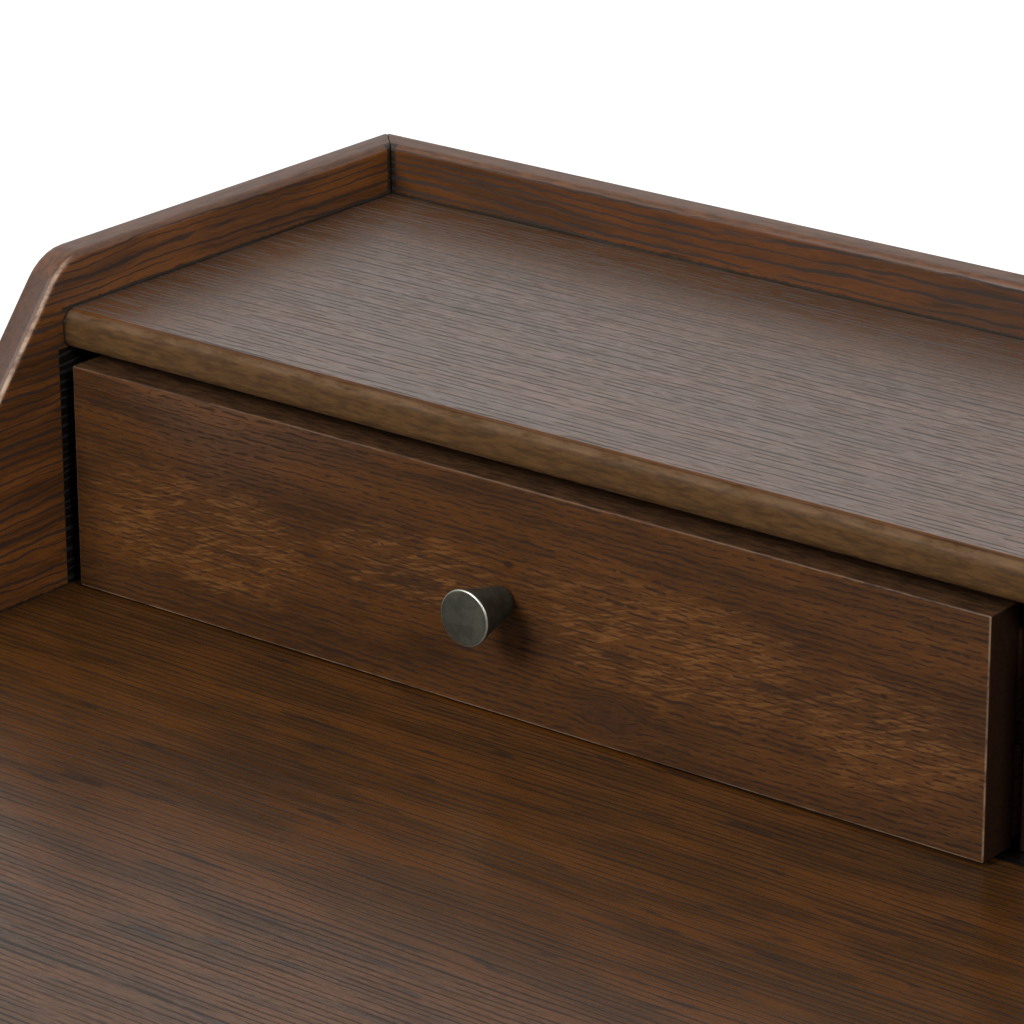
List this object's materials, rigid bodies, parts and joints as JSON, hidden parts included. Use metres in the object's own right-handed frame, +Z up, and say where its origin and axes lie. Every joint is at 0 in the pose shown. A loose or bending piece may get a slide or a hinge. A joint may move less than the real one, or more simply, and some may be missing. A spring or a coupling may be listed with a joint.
{
  "type": "secretary desk",
  "caption": "Oak writing desk with a raised gallery of small drawers under a rimmed shelf, frieze drawers below the top and tapered legs.",
  "frame": {"origin": "on the floor, under the middle of the desk with its drawers closed and its knobs counted", "axes": "+X to the sitter's right along the width, +Y to the back, +Z up"},
  "size_m": [1.219, 0.735, 0.939],
  "materials": {
    "side_panel_oak": "satin dark stain, lighter orange-brown",
    "back_panel_oak": "satin dark stain, reddish brown",
    "desktop_oak": "satin dark stain",
    "shelf_oak": "satin dark stain, greyish sheen",
    "drawer_front_oak": "satin dark stain with ray fleck",
    "case_oak": "satin dark stain",
    "leg_frame_oak": "satin dark stain",
    "drawer_box_oak": "matt dark stain",
    "drawer_bottom_board": "matt dark stain",
    "runner_hardwood": "waxed dark stain",
    "gunmetal": "dark satin metal",
    "screw_steel": "plain",
    "glide_plastic": "matt"
  },
  "bodies": {
    "desk": {"side_panel_left": "side_panel_oak", "side_panel_right": "side_panel_oak", "back_panel": "back_panel_oak", "desktop": "desktop_oak", "gallery_shelf": "shelf_oak", "case_bottom": "case_oak", "gallery_divider": "case_oak", "case_divider": "case_oak", "leg_front_left": "leg_frame_oak", "leg_front_right": "leg_frame_oak", "leg_back_left": "leg_frame_oak", "leg_back_right": "leg_frame_oak", "rail_front": "leg_frame_oak", "rail_back": "leg_frame_oak", "rail_left": "leg_frame_oak", "rail_right": "leg_frame_oak", "glide_front_left": "glide_plastic", "glide_front_right": "glide_plastic", "glide_back_left": "glide_plastic", "glide_back_right": "glide_plastic", "gallery_drawer_left_runner_left": "runner_hardwood", "gallery_drawer_left_runner_right": "runner_hardwood", "gallery_drawer_right_runner_left": "runner_hardwood", "gallery_drawer_right_runner_right": "runner_hardwood", "frieze_drawer_left_runner_left": "runner_hardwood", "frieze_drawer_left_runner_right": "runner_hardwood", "frieze_drawer_right_runner_left": "runner_hardwood", "frieze_drawer_right_runner_right": "runner_hardwood"},
    "gallery_drawer_left": {"gallery_drawer_left_front": "drawer_front_oak", "gallery_drawer_left_side_left": "drawer_box_oak", "gallery_drawer_left_side_right": "drawer_box_oak", "gallery_drawer_left_back": "drawer_box_oak", "gallery_drawer_left_bottom": "drawer_bottom_board", "gallery_drawer_left_knob": "gunmetal", "gallery_drawer_left_knob_screw": "screw_steel"},
    "gallery_drawer_right": {"gallery_drawer_right_front": "drawer_front_oak", "gallery_drawer_right_side_left": "drawer_box_oak", "gallery_drawer_right_side_right": "drawer_box_oak", "gallery_drawer_right_back": "drawer_box_oak", "gallery_drawer_right_bottom": "drawer_bottom_board", "gallery_drawer_right_knob": "gunmetal", "gallery_drawer_right_knob_screw": "screw_steel"},
    "frieze_drawer_left": {"frieze_drawer_left_front": "drawer_front_oak", "frieze_drawer_left_side_left": "drawer_box_oak", "frieze_drawer_left_side_right": "drawer_box_oak", "frieze_drawer_left_back": "drawer_box_oak", "frieze_drawer_left_bottom": "drawer_bottom_board", "frieze_drawer_left_knob": "gunmetal", "frieze_drawer_left_knob_screw": "screw_steel"},
    "frieze_drawer_right": {"frieze_drawer_right_front": "drawer_front_oak", "frieze_drawer_right_side_left": "drawer_box_oak", "frieze_drawer_right_side_right": "drawer_box_oak", "frieze_drawer_right_back": "drawer_box_oak", "frieze_drawer_right_bottom": "drawer_bottom_board", "frieze_drawer_right_knob": "gunmetal", "frieze_drawer_right_knob_screw": "screw_steel"}
  },
  "joints": [
    {"name": "gallery_drawer_left_slide", "type": "slide", "parent": "desk", "child": "gallery_drawer_left", "axis": [0, -1, 0], "range_m": [0, 0.16]},
    {"name": "gallery_drawer_right_slide", "type": "slide", "parent": "desk", "child": "gallery_drawer_right", "axis": [0, -1, 0], "range_m": [0, 0.16]},
    {"name": "frieze_drawer_left_slide", "type": "slide", "parent": "desk", "child": "frieze_drawer_left", "axis": [0, -1, 0], "range_m": [0, 0.4]},
    {"name": "frieze_drawer_right_slide", "type": "slide", "parent": "desk", "child": "frieze_drawer_right", "axis": [0, -1, 0], "range_m": [0, 0.4]}
  ]
}
